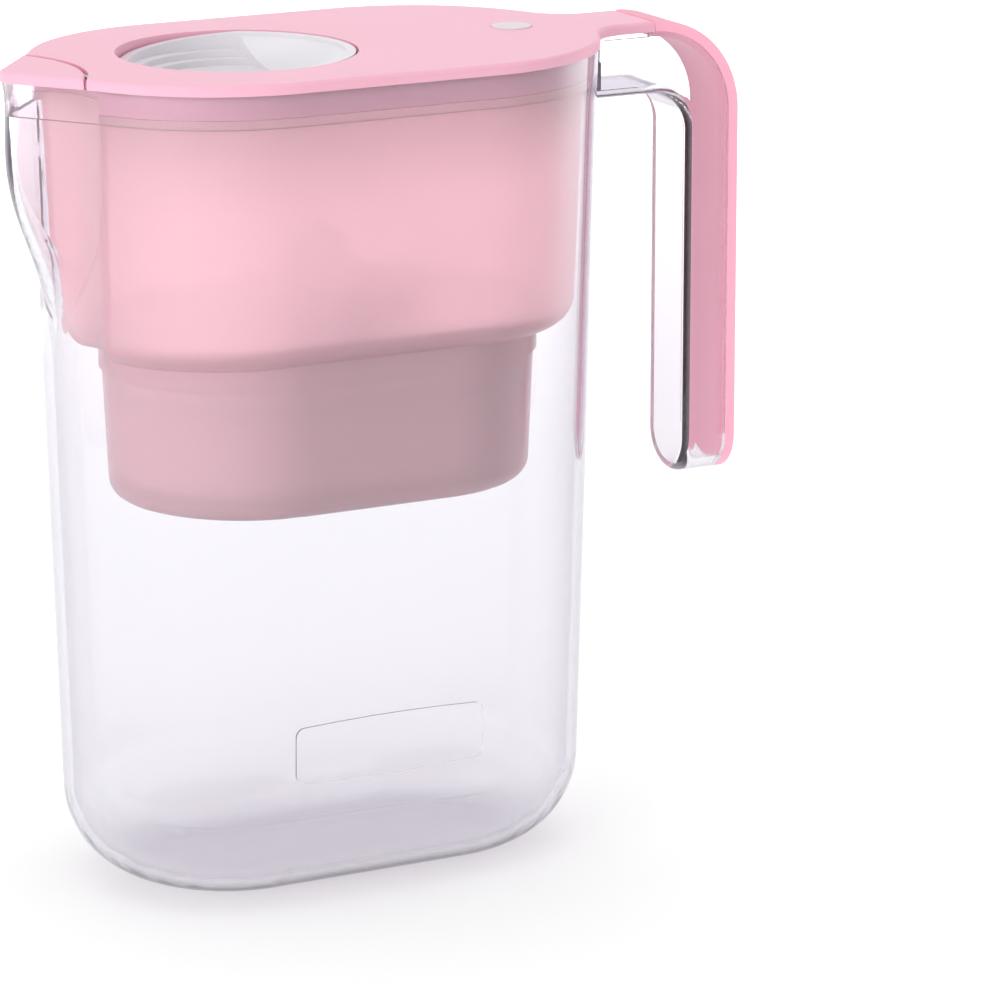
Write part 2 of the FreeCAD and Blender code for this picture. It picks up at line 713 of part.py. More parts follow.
def build_hopper():
    """Translucent tank: flange, scooped tank, shoulder and cartridge sleeve with two outlets."""
    core = new_body("hopper_core")
    half, wall, brim = "size.half_straight", "size.hopper_wall", f"({FLANGE_TOP} + 5)"
    drafted(core, "tank_core", half, f"size.hopper_low_radius - {wall}", SHOULDER_IN,
            f"size.hopper_top_radius - {wall}", brim, f"(size.hopper_round - {wall})")
    scoop_cut(core, "tank_core_scoop", f"(size.scoop_radius + {wall})", SHOULDER_IN, f"{brim} + 1",
              f"(size.scoop_round - {wall})")
    well_low, well_high = f"(size.sleeve_bottom + {wall})", f"({SHOULDER_IN} + {wall})"
    drafted(core, "well_core", "size.sleeve_half", well_radius(well_low), well_low,
            well_radius(well_high), well_high, f"(size.sleeve_round - {wall})")

    body = new_body("hopper")
    drafted(body, "tank", half, "size.hopper_low_radius", "size.shoulder_height",
            "size.hopper_top_radius", LEDGE, "size.hopper_round")
    flange = stadium(body, "flange_plan", half, "size.rim_radius - size.rim_wall - size.slip", LEDGE)
    pad(body, "flange", flange, "size.hopper_flange")
    scoop_cut(body, "tank_scoop", "size.scoop_radius", "size.shoulder_height", brim, "size.scoop_round")
    drafted(body, "sleeve", "size.sleeve_half", "size.sleeve_low_radius", "size.sleeve_bottom",
            "size.sleeve_top_radius", COLLAR, "size.sleeve_round")
    collar = stadium(body, "collar_plan", "size.sleeve_half",
                     "size.sleeve_top_radius + size.sleeve_collar_step", COLLAR)
    pad(body, "collar", collar, "size.sleeve_collar + size.hopper_wall")
    combine(body, "hollow_tank", core)
    outlets = sketch_on(body, "outlet_plan", "XY_Plane", "size.sleeve_bottom")
    disc(outlets, "size.sleeve_half", "0", "size.outlet_radius")
    disc(outlets, "-size.sleeve_half", "0", "size.outlet_radius")
    pocket(body, "outlets", outlets, "size.hopper_wall * 2", up=True)
    return body


def cup_radius(height):
    """Outer radius of the cartridge cup, parallel to the sleeve's inner wall."""
    return f"({well_radius(height)} - size.cup_gap)"


CUP_FLOOR = "(size.sleeve_bottom + size.hopper_wall + 2 * size.cup_gap)"
CUP_INSIDE = f"({CUP_FLOOR} + size.cup_wall)"
CUP_TOP = f"({CAP_UNDER} - size.seat)"
SEAL_LOW = f"({COLLAR} - size.seal_height - 1)"
PAD_TOP = f"({CAP_UNDER} - size.cap_spigot - size.seat)"


def build_cartridge_cup():
    """White cup: tapered wall, bead under the seal and two rings of outlet holes."""
    body = new_body("cartridge_cup")
    half = "size.sleeve_half"
    drafted(body, "cup_form", half, cup_radius(CUP_FLOOR), CUP_FLOOR, cup_radius(CUP_TOP), CUP_TOP,
            "size.sleeve_round * 0.8")
    bead = stadium(body, "bead_plan", half, f"{cup_radius(SEAL_LOW)} + size.cup_gap / 2",
                   f"{SEAL_LOW} - size.cup_wall - size.seat")
    pad(body, "bead", bead, "size.cup_wall")
    core = new_body("cup_core")
    drafted(core, "cup_inside", half, f"{cup_radius(CUP_INSIDE)} - size.cup_wall", CUP_INSIDE,
            f"{cup_radius(CUP_TOP)} - size.cup_wall", f"({CUP_TOP} + size.seat / 2)",
            "size.sleeve_round * 0.5")
    combine(body, "cup_hollow", core)
    for side, middle in (("front", f"-{half}"), ("rear", half)):
        ring = sketch_on(body, f"cup_outlet_{side}", "XY_Plane", CUP_FLOOR)
        ring.setExpression("AttachmentOffset.Base.x", middle)
        disc(ring, "size.outlet_radius * 2", "0", "size.drip_hole * 2")
        first = pocket(body, f"cup_hole_{side}", ring, "size.cup_wall * 2", up=True)
        around(body, f"cup_holes_{side}", [first], ring, 8)
    return body


def build_cartridge_cap():
    """White cap: raised rim, spigot in the cup, dome grip with finger dimples, drip holes."""
    body = new_body("cartridge_cap")
    half = "size.sleeve_half"
    plate = stadium(body, "cap_plan", half, "size.cap_radius", CAP_UNDER)
    pad(body, "cap_plate", plate, "size.cap_thickness + size.cap_rim")
    inside = stadium(body, "cap_inside", half, "size.cap_radius - size.cap_rim_width", CAP_TOP)
    pocket(body, "cap_dish", inside, "size.cap_rim", up=True)
    spigot = stadium(body, "cap_spigot_plan", half, f"{cup_radius(PAD_TOP)} - size.cup_wall - size.slip",
                     CAP_UNDER)
    pad(body, "cap_spigot", spigot, "size.cap_spigot", down=True)
    bore = stadium(body, "cap_bore_plan", half, f"{cup_radius(PAD_TOP)} - 2 * size.cup_wall - size.slip",
                   f"{CAP_UNDER} - size.cap_spigot")
    pocket(body, "cap_bore", bore, "size.cap_spigot", up=True)
    face = sketch_on(body, "dome_face", "YZ_Plane")
    r, z = num("size.grip_dome"), num(CAP_TOP)
    outline(face, [("-size.grip_dome", CAP_TOP), ("size.grip_dome", CAP_TOP),
                   ("0", f"{CAP_TOP} + size.grip_dome")],
            [(1, "size.grip_dome", 1), (2, "size.grip_dome", 1)])
    pad(body, "dome", face, "size.dome_thickness", symmetric=True)
    flat = num("size.dome_thickness / 2")
    round_over(body, "dome_edge", "size.dome_thickness * 0.35",
               lambda p: near(abs(p.x), flat) and near(math.hypot(p.y, p.z - z), r))
    dimple = sketch_on(body, "dimple_face", "YZ_Plane", "size.dome_thickness / 2")
    disc(dimple, "0", f"{CAP_TOP} + size.grip_dome * 0.48", "size.dimple_radius")
    one = pocket(body, "dimple", dimple, "size.dimple_depth")
    mirror(body, "dimples", [one], "YZ_Plane")
    for side, middle in (("front", "-size.drip_middle"), ("rear", "size.drip_middle")):
        row = sketch_on(body, f"drip_row_{side}", "XY_Plane", CAP_TOP)
        row.setExpression("AttachmentOffset.Base.x", middle)
        for k in range(3):
            disc(row, f"size.drip_ring + size.drip_step * {k}", "0", "size.drip_hole")
        first = pocket(body, f"drip_holes_{side}", row, "size.cap_thickness + size.seat")
        around(body, f"drip_rings_{side}", [first], row, 14)
    return body


def ring_pad(name, half, outer, inner, low, height):
    """Flat racetrack ring."""
    body = new_body(name)
    plan = stadium(body, f"{name}_plan", half, outer, low)
    pad(body, f"{name}_pad", plan, height)
    hole = stadium(body, f"{name}_hole", half, inner, low)
    pocket(body, f"{name}_cut", hole, f"{height} + 1", up=True)
    return body


def fill_of_cup(name, low, high, rounding=None):
    """Block that fills the cup between two heights, clear of its wall."""
    body = new_body(name)
    inset = "(size.cup_wall + size.slip)"
    drafted(body, f"{name}_form", "size.sleeve_half", f"{cup_radius(low)} - {inset}", low,
            f"{cup_radius(high)} - {inset}", high, rounding)
    return body


def build_cartridge():
    build_cartridge_cup()
    build_cartridge_cap()
    ring_pad("cartridge_seal", "size.sleeve_half", f"{cup_radius(SEAL_LOW)} + size.cup_gap - size.seat",
             f"{cup_radius(SEAL_LOW)} + size.seat", SEAL_LOW, "size.seal_height")
    low = f"({CUP_INSIDE} + size.seat)"
    media_low = f"({low} + size.pad_thickness + size.seat)"
    top_low = f"({PAD_TOP} - size.pad_thickness)"
    fill_of_cup("cartridge_bottom_pad", low, f"({low} + size.pad_thickness)", "size.sleeve_round * 0.5")
    fill_of_cup("cartridge_media", media_low, f"({top_low} - size.seat)")
    fill_of_cup("cartridge_top_pad", top_low, PAD_TOP)


FLAP_MIDDLE = "(size.flap_back_x - size.flap_back_radius)"
TAIL_END = f"({BEND_X} - size.tail_gap)"


def plate_nose(body, name):
    """Outline of the lid over the spout, level with the underside of the plate."""
    sketch = nose(body, name, "size.jug_height", "1", "size.lid_overhang")
    sketch.setExpression("AttachmentOffset.Base.z", "size.jug_height")
    return sketch


def build_lid():
    """Lid plate with tail, skirt, fill opening, hinge lugs and the chamber of the light."""
    body = new_body("lid")
    plan = stadium(body, "plate_plan", "size.half_straight", "size.rim_radius + size.lid_overhang",
                   "size.jug_height")
    pad(body, "plate", plan, "size.lid_thickness")
    pad(body, "plate_spout", plate_nose(body, "plate_spout_plan"), "size.lid_thickness")
    tail = sketch_on(body, "tail_plan", "XY_Plane", "size.jug_height")
    block(tail, "size.half_straight", "-size.grip_width / 2", TAIL_END, "size.grip_width / 2")
    pad(body, "tail", tail, "size.lid_thickness")
    half, edge = num("size.grip_width / 2"), num("size.half_straight + size.rim_radius") - 10
    top, under = num(LID_TOP), num("size.jug_height")
    round_over(body, "tail_blends", "size.tail_blend",
               lambda p: near(abs(p.y), half) and edge < p.x < edge + 12)
    round_over(body, "plate_edge", "size.lid_edge", lambda p: near(p.z, top))

    bite = sketch_on(body, "flap_bite", "XY_Plane", LID_TOP)
    disc(bite, FLAP_MIDDLE, "0", "size.flap_back_radius + size.flap_gap")
    pocket(body, "flap_opening", bite, "size.lid_thickness")
    outside = "size.rim_radius - size.rim_wall - 2 * size.slip"
    skirt = scooped(body, "skirt_plan", outside, "size.scoop_radius", f"{FLANGE_TOP} + size.seat / 2")
    pad(body, "skirt", skirt, f"size.jug_height - {FLANGE_TOP} - size.seat / 2")
    space = scooped(body, "skirt_space_plan", f"{outside} - size.skirt_wall",
                    "size.scoop_radius + size.skirt_wall", "size.jug_height")
    ring = space.addGeometry(Part.Circle(V(num("size.fill_middle_x"), 0, 0), V(0, 0, 1),
                                         num("size.fill_radius + size.skirt_wall")), False)
    fix(space, "Radius", ring, "size.fill_radius + size.skirt_wall")
    fix(space, "DistanceX", ring, 3, -1, 1, "-size.fill_middle_x")
    fix(space, "PointOnObject", ring, 3, -1)
    pocket(body, "skirt_space", space, f"size.jug_height - {FLANGE_TOP}")
    hole = sketch_on(body, "fill_plan", "XY_Plane", LID_TOP)
    disc(hole, "size.fill_middle_x", "0", "size.fill_radius")
    pocket(body, "fill_opening", hole)
    gate = sketch_on(body, "hinge_gate", "XY_Plane", "size.jug_height")
    reach = "(size.knuckle_inner + size.knuckle_width + size.lug_width + 2 * size.slip)"
    block(gate, "size.fill_middle_x + size.fill_radius * 0.7", f"-{reach}",
          "size.hinge_x + size.knuckle_radius * 1.5", reach)
    pocket(body, "hinge_space", gate, f"size.jug_height - {FLANGE_TOP} + 1")

    lug = sketch_on(body, "lug_side", "XZ_Plane", "size.knuckle_inner + size.knuckle_width + size.slip")
    left, right = "(size.hinge_x - size.knuckle_radius)", "(size.hinge_x + size.knuckle_radius)"
    outline(lug, [(right, "size.jug_height"), (left, "size.jug_height"), (left, HINGE_Z),
                  ("size.hinge_x", f"{HINGE_Z} - size.knuckle_radius"), (right, HINGE_Z)],
            [(2, "size.knuckle_radius", 1), (3, "size.knuckle_radius", 1)])
    first = pad(body, "lug", lug, "size.lug_width")
    mirror(body, "lugs", [first], "XZ_Plane")
    bore = sketch_on(body, "lug_bore", "XZ_Plane")
    disc(bore, "size.hinge_x", HINGE_Z, "size.hinge_pin_radius + size.pin_play / 2")
    pocket(body, "lug_bores", bore, f"2 * {reach} + 2", symmetric=True)

    socket = sketch_on(body, "flap_socket", "XZ_Plane")
    disc(socket, FLAP_AXIS_X, FLAP_AXIS_Z, "size.flap_pin_radius + size.pin_play / 2")
    pocket(body, "flap_sockets", socket, "size.flap_pin_length + size.seat", symmetric=True)

    nub = sketch_on(body, "nub_face", "XZ_Plane", f"{outside} - size.skirt_wall / 2")
    disc(nub, "0", f"({FLANGE_TOP} + size.jug_height) / 2", "size.nub_radius")
    first = pad(body, "nub", nub, "size.skirt_wall / 2 + size.slip")
    mirror(body, "nubs", [first], "XZ_Plane")
    build_light_chamber(body)
    return body


def build_light_chamber(body):
    """Round boss under the lid that takes the parts of the filter-life light."""
    boss = sketch_on(body, "boss_plan", "XY_Plane", "size.jug_height")
    disc(boss, "size.light_x", "0", "size.boss_radius")
    pad(body, "boss", boss, "size.boss_depth", down=True)
    bore = sketch_on(body, "cell_bore_plan", "XY_Plane", BOSS_END)
    disc(bore, "size.light_x", "0", "size.cell_bore")
    pocket(body, "cell_bore", bore, f"{BOARD_TOP} + size.seat / 2 - {BOSS_END}", up=True)
    upper = sketch_on(body, "chamber_plan", "XY_Plane", BOSS_END)
    disc(upper, "size.light_x", "0", "size.chamber_radius")
    pocket(body, "chamber", upper, "size.boss_depth", up=True)
    window = sketch_on(body, "button_hole", "XY_Plane", LID_TOP)
    disc(window, "size.light_x", "0", "size.button_radius + size.seat")
    pocket(body, "button_opening", window, "size.lid_thickness")
    drill = sketch_on(body, "light_screw_hole", "XY_Plane", BOSS_END)
    drill.setExpression("AttachmentOffset.Base.x", "size.light_x")
    disc(drill, SCREW_RING, "0", "size.screw_radius")
    first = pocket(body, "screw_hole", drill, "size.boss_depth / 2 + size.slip", up=True)
    around(body, "screw_holes", [first], drill, 3)


SCREW_RING = "((size.cell_bore + size.boss_radius) / 2)"


def build_spout_flap():
    """Tip of the lid that tilts up on a pin."""
    body = new_body("spout_flap")
    pad(body, "flap_plate", plate_nose(body, "flap_plan"), "size.lid_thickness")
    trim = sketch_on(body, "flap_trim", "XY_Plane", LID_TOP)
    wide = "(2 * size.rim_radius)"
    block(trim, f"{FLAP_MIDDLE} - {wide}", f"-{wide}", f"{FLAP_MIDDLE} + {wide}", wide)
    disc(trim, FLAP_MIDDLE, "0", "size.flap_back_radius")
    pocket(body, "flap_back", trim, "size.lid_thickness")
    top = num(LID_TOP)
    round_over(body, "flap_top_edge", "size.flap_edge", lambda p: near(p.z, top))
    bore = sketch_on(body, "flap_bore_side", "XZ_Plane")
    disc(bore, FLAP_AXIS_X, FLAP_AXIS_Z, "size.flap_pin_radius + size.pin_play")
    pocket(body, "flap_bore", bore, "2 * size.rim_radius", symmetric=True)
    return body


def build_fill_flap():
    """White dish in the fill opening: stepped bowl, ramp at the hinge side, two hinge arms."""
    body = new_body("fill_flap")
    radius = "(size.fill_radius - size.dish_gap)"
    middle, top = "size.fill_middle_x", f"({LID_TOP} - size.seat)"
    foot = f"({middle} + size.ramp_start)"
    puck = sketch_on(body, "dish_plan", "XY_Plane", "size.dish_bottom")
    disc(puck, middle, "0", radius)
    pad(body, "dish", puck, f"{top} - size.dish_bottom")
    slope = sketch_on(body, "dish_slopes", "XZ_Plane")
    far = f"({middle} - size.fill_radius)"
    outline(slope, [(far, f"{LID_TOP} - size.dish_low_rim"), (foot, top), (foot, f"{top} + 5"),
                    (far, f"{top} + 5")])
    pocket(body, "dish_low_edge", slope, "3 * size.fill_radius", symmetric=True)
    for k in range(3):
        step = sketch_on(body, f"dish_step_{k}", "XY_Plane", LID_TOP)
        ring = f"({radius} - size.dish_rim - size.dish_step * {k})"
        half = f"sqrt({ring} ^ 2 - size.ramp_start ^ 2)"
        outline(step, [(foot, f"-{half}"), (foot, half), (f"{middle} - {ring}", "0")],
                [(1, ring, 1), (2, ring, 1)])
        pocket(body, f"dish_bowl_{k}", step,
               f"{LID_TOP} - size.dish_bottom - size.dish_floor - size.dish_tread * {2 - k}")
    combine(body, "bowl", build_dish_bowl(radius, middle, foot, top))

    arm = sketch_on(body, "arm_side", "XZ_Plane", "size.knuckle_inner")
    start = f"({middle} + {radius} - 4)"
    outline(arm, [(start, "size.dish_bottom"), ("size.hinge_x", f"{HINGE_Z} - size.knuckle_radius"),
                  ("size.hinge_x + size.knuckle_radius", HINGE_Z),
                  ("size.hinge_x", f"{HINGE_Z} + size.knuckle_radius"),
                  (start, f"{HINGE_Z} + size.knuckle_radius")],
            [(1, "size.knuckle_radius", 1), (2, "size.knuckle_radius", 1)])
    first = pad(body, "arm", arm, "size.knuckle_width")
    mirror(body, "arms", [first], "XZ_Plane")
    bore = sketch_on(body, "arm_bore", "XZ_Plane")
    disc(bore, "size.hinge_x", HINGE_Z, "size.hinge_pin_radius + size.pin_play")
    pocket(body, "arm_bores", bore, "4 * size.knuckle_inner + 4 * size.knuckle_width", symmetric=True)
    return body


def build_dish_bowl(radius, middle, foot, top):
    """Space of the dish's smooth side: a turned bowl, kept beyond the foot of its slope only."""
    body = new_body("dish_bowl_form")
    profile = sketch_on(body, "bowl_profile", "XZ_Plane")
    profile.setExpression("AttachmentOffset.Base.x", middle)
    rim, floor = f"({radius} - size.dish_rim)", "(size.dish_bottom + size.dish_floor)"
    outline(profile, [("0", floor), ("size.ramp_start", floor), (rim, f"{top} - 1"), (rim, f"{top} + 1"),
                      ("0", f"{top} + 1")], [(1, "size.fill_radius", 1)])
    turned = body.newObject("PartDesign::Revolution", "bowl_turned")
    turned.Profile = profile
    turned.ReferenceAxis = (profile, ["V_Axis"])
    turned.Angle = 360
    body.Tip = turned
    doc.recompute()
    side = sketch_on(body, "bowl_side", "XY_Plane", f"{floor} - 1")
    wide = "(2 * size.fill_radius)"
    block(side, f"{middle} - {wide}", f"-{wide}", foot, wide)
    pocket(body, "bowl_half", side, wide, up=True)
    return body


def build_pins():
    """Steel hinge pins, both along Y."""
    for name, radius, length, x, z in (
        ("spout_flap_pin", "size.flap_pin_radius", "size.flap_pin_length", FLAP_AXIS_X, FLAP_AXIS_Z),
        ("fill_flap_pin", "size.hinge_pin_radius",
         "2 * (size.knuckle_inner + size.knuckle_width + size.slip + size.lug_width)",
         "size.hinge_x", HINGE_Z),
    ):
        pin = doc.addObject("Part::Cylinder", name)
        pin.setExpression("Radius", radius)
        pin.setExpression("Height", length)
        pin.Placement = FreeCAD.Placement(V(0, 0, 0), FreeCAD.Rotation(V(1, 0, 0), 90))
        pin.setExpression("Placement.Base.x", x)
        pin.setExpression("Placement.Base.y", f"({length}) / 2")
        pin.setExpression("Placement.Base.z", z)


def build_spring():
    """Torsion spring on the fill flap's pin: quarter-turn arcs, one short leg at each end."""
    wire, pitch = num("size.spring_wire"), num("size.spring_pitch")
    turns = int(num("size.spring_turns"))
    coil = num("size.hinge_pin_radius + size.spring_wire / 2 + size.slip")
    x, z, start = num("size.hinge_x"), num(HINGE_Z), -turns * pitch / 2

    def at(turn):
        angle = 2 * math.pi * turn + math.pi
        return V(x + coil * math.cos(angle), start + pitch * turn, z + coil * math.sin(angle))

    quarters = [k / 4 for k in range(4 * turns)]
    edges = [Part.Arc(at(q), at(q + 0.125), at(q + 0.25)).toShape() for q in quarters]
    flat = num("size.knuckle_radius")
    first_leg = Part.LineSegment(at(0) + V(0, 0, flat - wire), at(0)).toShape()
    last_leg = Part.LineSegment(at(turns), at(turns) - V(0, 0, flat)).toShape()
    path = Part.Wire([first_leg] + edges + [last_leg])
    ring = Part.Wire(Part.Circle(at(0) + V(0, 0, flat - wire), V(0, 0, 1), wire / 2).toShape())
    spring = doc.addObject("Part::Feature", "fill_flap_spring")
    spring.Shape = path.makePipeShell([ring], True, False)
    points = [at(k / 16) for k in range(16 * turns + 1)]
    gap = min((a - b).Length for i, a in enumerate(points) for b in points[i + 12:]) - wire
    print(f"least gap between spring turns: {gap:.2f} mm")


def cylinder(name, radius, low, height, x="size.light_x"):
    part = doc.addObject("Part::Cylinder", name)
    part.setExpression("Radius", radius)
    part.setExpression("Height", height)
    part.setExpression("Placement.Base.x", x)
    part.setExpression("Placement.Base.z", low)
    return part


def box(name, length, width, height, x, y, low):
    """Box centred on x and y that stands on a height."""
    part = doc.addObject("Part::Box", name)
    for prop, expression in (("Length", length), ("Width", width), ("Height", height),
                             ("Placement.Base.x", f"{x} - ({length}) / 2"),
                             ("Placement.Base.y", f"{y} - ({width}) / 2"), ("Placement.Base.z", low)):
        part.setExpression(prop, expression)
    return part


def build_light():
    """Button lens, board, switch, lamp, coin cell, contacts, gasket, cover and screws."""
    button = new_body("indicator_button")
    flange_low = "(size.jug_height - size.seat - size.button_flange)"
    lens = sketch_on(button, "lens_plan", "XY_Plane", flange_low)
    disc(lens, "size.light_x", "0", "size.button_radius")
    pad(button, "lens", lens, f"{LID_TOP} + size.button_rise - {flange_low}")
    high = num(LID_TOP) + num("size.button_rise")
    round_over(button, "lens_edge", "size.button_rise", lambda p: near(p.z, high))
    flange = sketch_on(button, "lens_flange_plan", "XY_Plane", flange_low)
    disc(flange, "size.light_x", "0", "size.button_radius + size.button_flange")
    pad(button, "lens_flange", flange, "size.button_flange")
    stem = sketch_on(button, "lens_stem_plan", "XY_Plane", flange_low)
    disc(stem, "size.light_x", "0", "size.button_radius / 4")
    tip = f"({BOARD_TOP} + size.switch_height + size.button_travel + size.seat)"
    pad(button, "lens_stem", stem, f"{flange_low} - {tip}", down=True)

    board_low = f"({BOARD_TOP} - size.board_thickness)"
    cell_low = "(size.jug_height - size.cell_drop - size.cell_height)"
    cylinder("indicator_board", "size.cell_bore - size.seat", board_low, "size.board_thickness")
    box("indicator_switch", "size.button_radius * 0.8", "size.button_radius * 0.8", "size.switch_height",
        "size.light_x", "0", BOARD_TOP)
    box("indicator_led", "size.button_radius * 0.3", "size.button_radius * 0.55", "size.switch_height * 0.8",
        "size.light_x", "size.button_radius * 0.8", BOARD_TOP)
    cylinder("coin_cell", "size.cell_radius", cell_low, "size.cell_height")
    build_contact("cell_contact_top", f"{cell_low} + size.cell_height", board_low)
    build_contact("cell_contact_base", f"{BOSS_END} + size.seat", cell_low)
    gasket = new_body("indicator_seal")
    plan = sketch_on(gasket, "gasket_plan", "XY_Plane", f"{BOSS_END} - size.gasket_height")
    disc(plan, "size.light_x", "0", "size.cell_bore + size.gasket_width")
    disc(plan, "size.light_x", "0", "size.cell_bore")
    pad(gasket, "gasket", plan, "size.gasket_height")
    build_light_cover()


def build_contact(name, low, high):
    """Bowed strip spring between two flat faces."""
    body = new_body(name)
    side = sketch_on(body, f"{name}_side", "XZ_Plane")
    left, right = "(size.light_x - size.cell_radius * 0.6)", "(size.light_x + size.cell_radius * 0.6)"
    rise = f"(({high}) - ({low}) - size.contact_strip)"
    bow = f"((size.cell_radius * 0.6) ^ 2 / (2 * {rise}) + {rise} / 2)"
    raised = f"({low}) + size.contact_strip"
    outline(side, [(left, low), (right, low), (right, raised), (left, raised)], [(0, bow, -1), (2, bow, 1)])
    pad(body, f"{name}_strip", side, "size.cell_radius * 0.5", symmetric=True)


def build_light_cover():
    """Round cover with gasket groove, and its three screws as one group."""
    cover = new_body("indicator_cover")
    plan = sketch_on(cover, "light_cover_plan", "XY_Plane", BOSS_END)
    disc(plan, "size.light_x", "0", "size.boss_radius")
    pad(cover, "light_cover", plan, "size.light_cover", down=True)
    groove = sketch_on(cover, "gasket_groove", "XY_Plane", BOSS_END)
    disc(groove, "size.light_x", "0", "size.cell_bore + size.gasket_width")
    disc(groove, "size.light_x", "0", "size.cell_bore")
    pocket(cover, "groove", groove, "size.gasket_height")
    drill = sketch_on(cover, "cover_screw_hole", "XY_Plane", BOSS_END)
    drill.setExpression("AttachmentOffset.Base.x", "size.light_x")
    disc(drill, SCREW_RING, "0", "size.screw_radius + size.pin_play")
    first = pocket(cover, "cover_hole", drill)
    around(cover, "cover_holes", [first], drill, 3)
    end = num("size.light_cover")
    low = num(BOSS_END) - end
    screws = []
    for k in range(3):
        turn = 2 * math.pi * k / 3
        ring = num(SCREW_RING)
        spot = V(num("size.light_x") + ring * math.cos(turn), ring * math.sin(turn), low)
        shank = Part.makeCylinder(num("size.screw_radius"), end + num("size.boss_depth / 2"), spot)
        head = Part.makeCylinder(num("size.screw_head"), num("size.screw_radius"),
                                 spot - V(0, 0, num("size.screw_radius")))
        screws.append(shank.fuse(head).removeSplitter())
    group = doc.addObject("Part::Feature", "indicator_screws")
    group.Shape = Part.makeCompound(screws)


NODES = ["pitcher_body", "handle_cover", "hopper", "cartridge_cup", "cartridge_cap", "cartridge_seal",
         "cartridge_top_pad", "cartridge_media", "cartridge_bottom_pad", "lid", "spout_flap",
         "spout_flap_pin", "fill_flap", "fill_flap_pin", "fill_flap_spring", "indicator_button",
         "indicator_board",
         "indicator_switch", "indicator_led", "coin_cell", "cell_contact_top", "cell_contact_base",
         "indicator_seal", "indicator_cover", "indicator_screws"]

build_pitcher_body()
build_handle_cover()
build_hopper()
build_cartridge()
build_lid()
build_spout_flap()
build_fill_flap()
build_pins()
build_spring()
build_light()
doc.recompute()

failed = [o.Name for o in doc.Objects if "Invalid" in o.State or "Error" in o.State]
if failed:
    raise RuntimeError(f"failed features: {failed}")
os.makedirs("parts", exist_ok=True)
pieces = {o.Label: o for o in doc.Objects if o.Label in NODES}
for node in NODES:
    shape = pieces[node].Shape
    if shape.isNull() or not shape.isValid() or not shape.Solids:
        raise RuntimeError(f"{node} has no valid solid")
for node in NODES:
    pieces[node].Shape.exportStep(f"parts/{node}.step")
print(len(NODES), "nodes written")
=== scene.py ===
"""Looks of the water filter pitcher: clear jug, tinted hopper, lid, flaps, light and cartridge."""

import bpy
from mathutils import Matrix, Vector

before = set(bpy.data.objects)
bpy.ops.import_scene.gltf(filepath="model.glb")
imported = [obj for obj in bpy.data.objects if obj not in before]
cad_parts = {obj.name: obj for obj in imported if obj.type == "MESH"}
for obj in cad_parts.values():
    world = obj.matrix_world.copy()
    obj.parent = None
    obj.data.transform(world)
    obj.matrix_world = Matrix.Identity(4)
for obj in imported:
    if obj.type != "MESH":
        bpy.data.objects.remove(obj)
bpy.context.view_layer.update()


# Jug: clear moulding with pour spout, inner ledge, bare plaque and the open channel of the handle.
# Styrene acrylonitrile, injection moulded in a polished tool, one piece.
# Clear and glossy; where a wall is seen edge on it gets a painted lavender grey shade and a faint painted
# diffuse veil, standing in for dark surroundings reflected in its edges.
MM = 0.001
WAVE_MM = 60.0
# Where the painted edge shade begins and how fast it deepens.
CLEAR_EDGE_FROM = 0.45
CLEAR_EDGE_POWER = 1.6


def linear(hex_colour):
    """sRGB hex text to linear RGBA."""
    parts = [int(hex_colour[k:k + 2], 16) / 255 for k in (1, 3, 5)]
    return [c / 12.92 if c <= 0.04045 else ((c + 0.055) / 1.055) ** 2.4 for c in parts] + [1.0]


def add(material, kind, links=(), values={}, **settings):
    """Adds one node. Links are (from node, from socket, to socket), values go to sockets by name or
    number, settings to the node itself."""
    node = material.node_tree.nodes.new(kind)
    for key, value in settings.items():
        setattr(node, key, value)
    for socket, value in values.items():
        node.inputs[socket].default_value = value
    for source, out_socket, in_socket in links:
        material.node_tree.links.new(source.outputs[out_socket], node.inputs[in_socket])
    return node


def new_finish(name):
    """Empty node material with its output node."""
    material = bpy.data.materials.new(name)
    material.use_nodes = True
    material.node_tree.nodes.clear()
    return material, material.node_tree.nodes.new("ShaderNodeOutputMaterial")


def dress(node_names, material):
    """Puts a material into the slots of CAD nodes."""
    for name in node_names:
        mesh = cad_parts[name].data
        mesh.materials.clear()
        mesh.materials.append(material)


def lets_lamps_through(material, shader, colour):
    """Lets lamps shine through in a tint, so that what stands behind a clear or thin wall is lit."""
    path = add(material, "ShaderNodeLightPath")
    film = add(material, "ShaderNodeBsdfTransparent", values={"Color": linear(colour)})
    return add(material, "ShaderNodeMixShader", [(path, "Is Shadow Ray", 0), (shader, 0, 1), (film, 0, 2)])


clear_san, out = new_finish("styrene_acrylonitrile_polished")
place = add(clear_san, "ShaderNodeTexCoord")
wave = add(clear_san, "ShaderNodeTexNoise", [(place, "Object", "Vector")],
           {"Scale": 1 / (WAVE_MM * MM), "Detail": 1.0})
sink = add(clear_san, "ShaderNodeBump", [(wave, "Fac", "Height")], {"Strength": 0.05, "Distance": 0.2 * MM})
haze = add(clear_san, "ShaderNodeMapRange", [(wave, "Fac", "Value")], {"To Min": 0.012, "To Max": 0.025})
